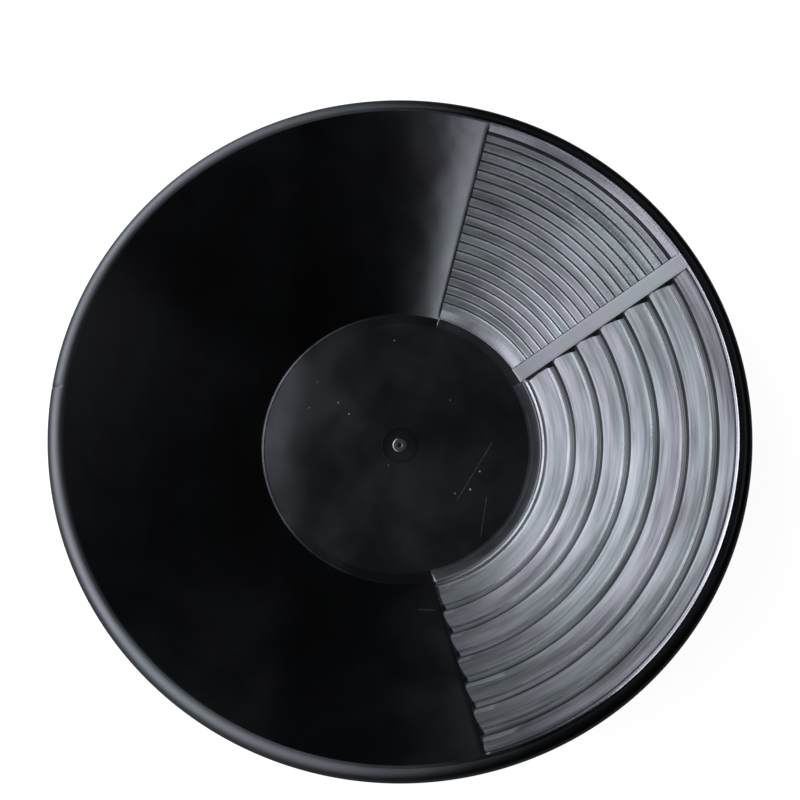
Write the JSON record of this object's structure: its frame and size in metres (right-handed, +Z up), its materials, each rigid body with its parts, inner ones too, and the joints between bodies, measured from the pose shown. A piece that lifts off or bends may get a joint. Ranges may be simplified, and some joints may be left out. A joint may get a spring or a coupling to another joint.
{
  "type": "gold pan",
  "caption": "Shallow round plastic gold pan with a flat floor, sloping wall, a coarse stepped riffle panel, a fine ribbed panel, a divider rib and a rolled rim.",
  "frame": {"origin": "centre of the flat underside, where the pan stands", "axes": "+Z up out of the bowl along the pan's axis, +X towards the middle of the coarse riffle side, +Y a quarter turn anticlockwise from it seen from above"},
  "size_m": [0.3414, 0.3414, 0.068],
  "materials": {
    "pan_plastic": "black semi-gloss moulded plastic with fine rub marks"
  },
  "bodies": {
    "root": {"base_plate": "pan_plastic", "rim_lip": "pan_plastic", "smooth_wall": "pan_plastic", "divider_rib": "pan_plastic", "fine_riffle_panel": "pan_plastic", "coarse_riffle_1": "pan_plastic", "coarse_riffle_2": "pan_plastic", "coarse_riffle_3": "pan_plastic", "coarse_riffle_4": "pan_plastic", "coarse_riffle_5": "pan_plastic", "coarse_riffle_6": "pan_plastic", "coarse_riffle_7": "pan_plastic"}
  },
  "joints": []
}
